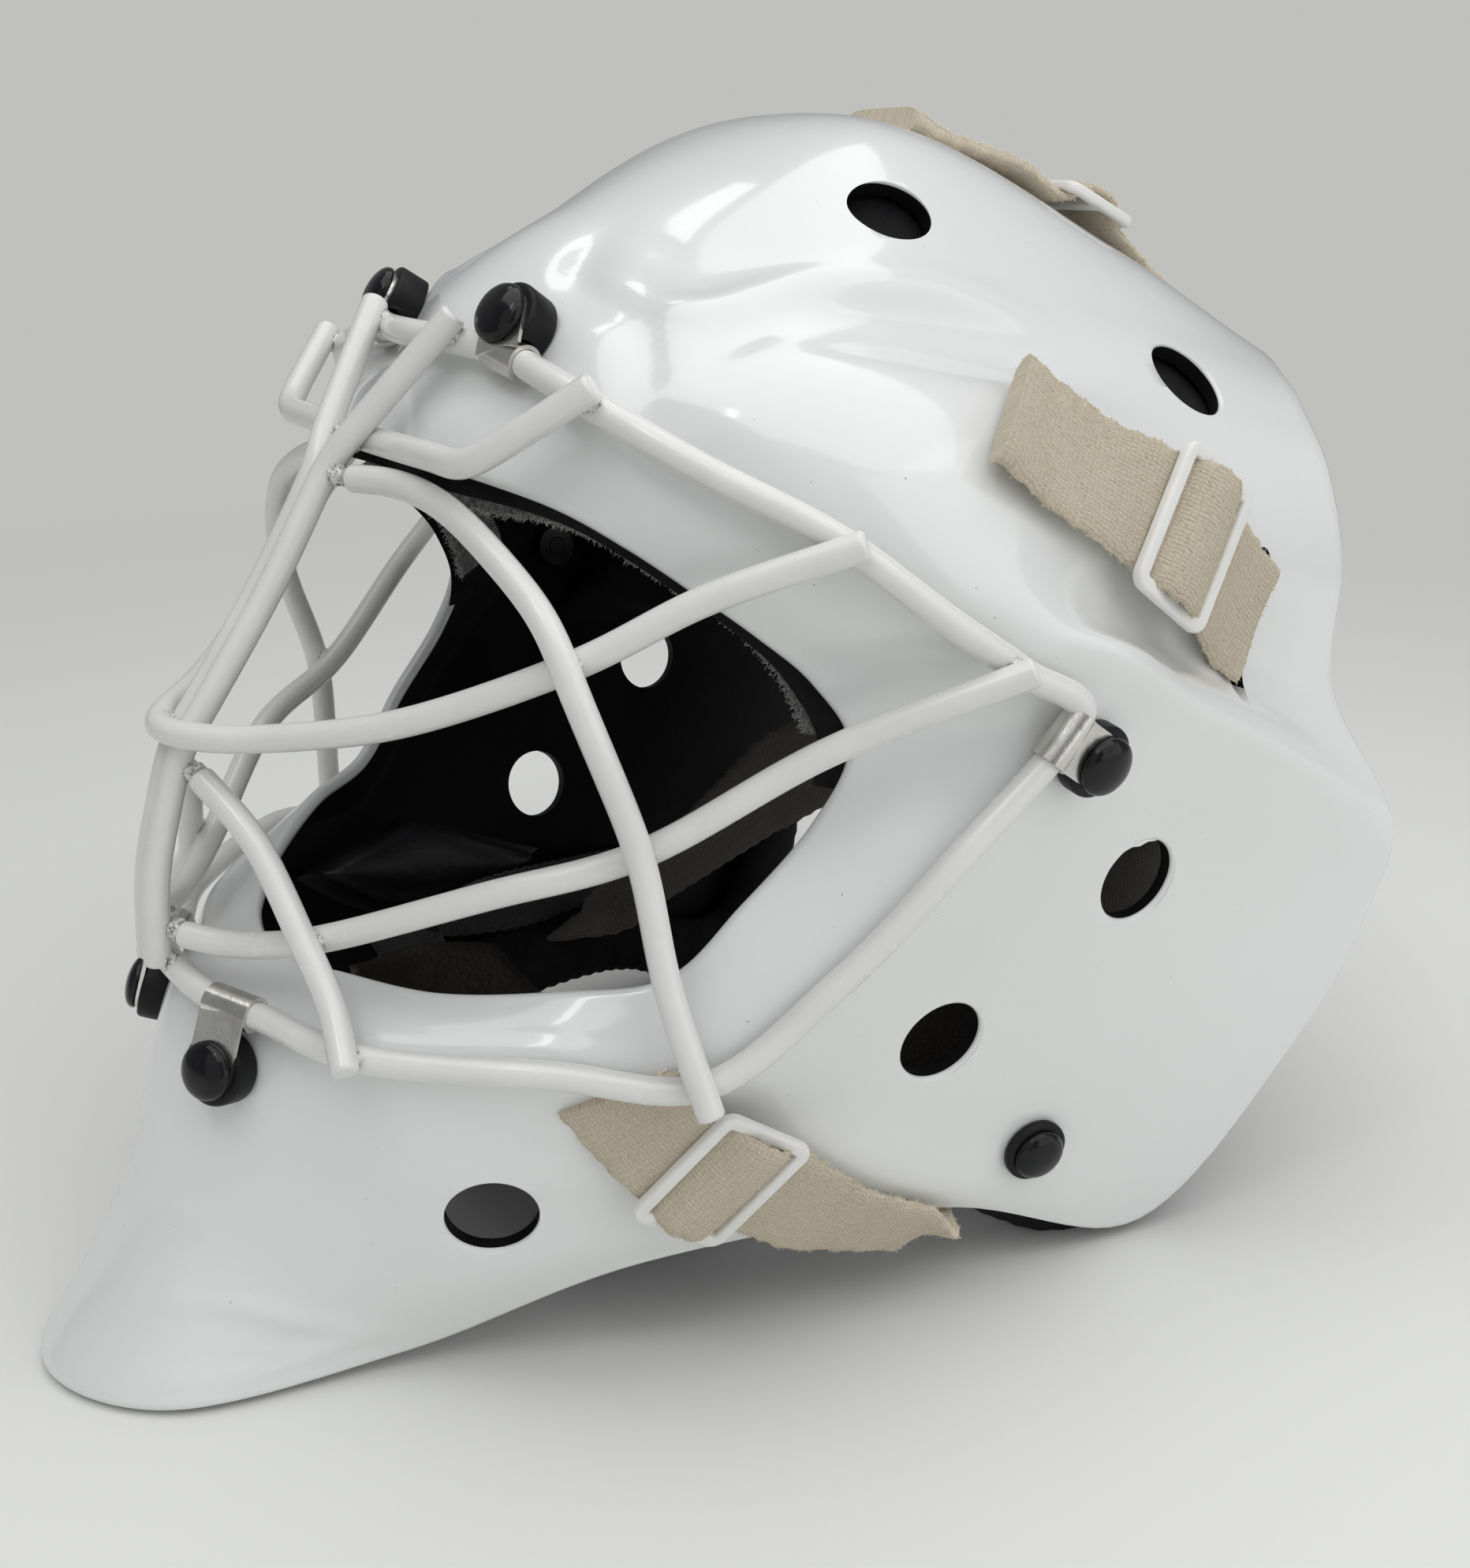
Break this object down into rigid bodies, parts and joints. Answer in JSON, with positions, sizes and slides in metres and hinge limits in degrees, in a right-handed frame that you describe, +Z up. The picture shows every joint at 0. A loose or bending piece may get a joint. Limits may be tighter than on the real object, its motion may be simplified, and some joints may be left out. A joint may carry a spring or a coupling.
{
  "type": "hockey goalie mask",
  "caption": "Ice hockey goalie mask: white moulded shell, welded wire cage held by steel clips, lining pads, chin sling and elastic harness with a back plate",
  "frame": {"origin": "on the ground, in the middle of the width and of the length from the chin lip to the back plate", "axes": "+Z up, +X towards the wearer's left, and the wearer looks along -Y"},
  "size_m": [0.241, 0.319, 0.2533],
  "materials": {
    "shell_white": "glossy moulded composite",
    "cage_paint": "gloss white coating on steel wire",
    "clip_steel": "plain rolled steel",
    "washer_rubber": "matt black",
    "screw_black": "black oxide",
    "pad_black": "foam under a soft black cover",
    "jaw_pad_leather": "smooth black leather over foam",
    "sweatband_grey": "brushed grey terry",
    "strap_beige": "knitted elastic",
    "slider_white": "moulded",
    "backplate_white": "moulded",
    "rivet_steel": "plain",
    "cup_leather": "soft black leather over foam",
    "sling_black": "woven webbing"
  },
  "bodies": {
    "mask": {"shell": "shell_white", "cage_perimeter": "cage_paint", "cage_centre_bars": "cage_paint", "cage_brow_guard": "cage_paint", "cage_upper_bar": "cage_paint", "cage_eye_loop_left": "cage_paint", "cage_eye_loop_right": "cage_paint", "cage_lower_bar_left": "cage_paint", "cage_lower_bar_right": "cage_paint", "cage_mouth_arch_left": "cage_paint", "cage_mouth_arch_right": "cage_paint", "forehead_clips": "clip_steel", "temple_clips": "clip_steel", "chin_clips": "clip_steel", "clip_washers": "washer_rubber", "clip_screws": "screw_black", "clip_nuts": "screw_black", "brow_pad": "pad_black", "sweatband": "sweatband_grey", "crown_pad": "pad_black", "side_pad_left": "pad_black", "side_pad_right": "pad_black", "jaw_pad_left": "jaw_pad_leather", "jaw_pad_right": "jaw_pad_leather", "top_strap": "strap_beige", "side_strap_left": "strap_beige", "side_strap_right": "strap_beige", "lower_strap_left": "strap_beige", "lower_strap_right": "strap_beige", "top_slider": "slider_white", "side_slider_left": "slider_white", "side_slider_right": "slider_white", "lower_slider_left": "slider_white", "lower_slider_right": "slider_white", "top_elastic": "strap_beige", "side_elastic_left": "strap_beige", "side_elastic_right": "strap_beige", "lower_elastic_left": "strap_beige", "lower_elastic_right": "strap_beige", "chin_cup": "cup_leather", "chin_strap_left": "sling_black", "chin_strap_right": "sling_black", "sling_washers": "washer_rubber", "sling_screws": "screw_black", "sling_nuts": "screw_black"},
    "back_plate": {"backplate": "backplate_white", "backplate_pad": "pad_black", "backplate_rivets": "rivet_steel"}
  },
  "joints": [
    {"name": "backplate_slide", "type": "slide", "parent": "mask", "child": "back_plate", "axis": [0, 1, 0], "range_m": [0, 0.025], "stiffness_N_per_m": 60, "deforming": ["top_elastic", "side_elastic_left", "side_elastic_right", "lower_elastic_left", "lower_elastic_right"]}
  ]
}
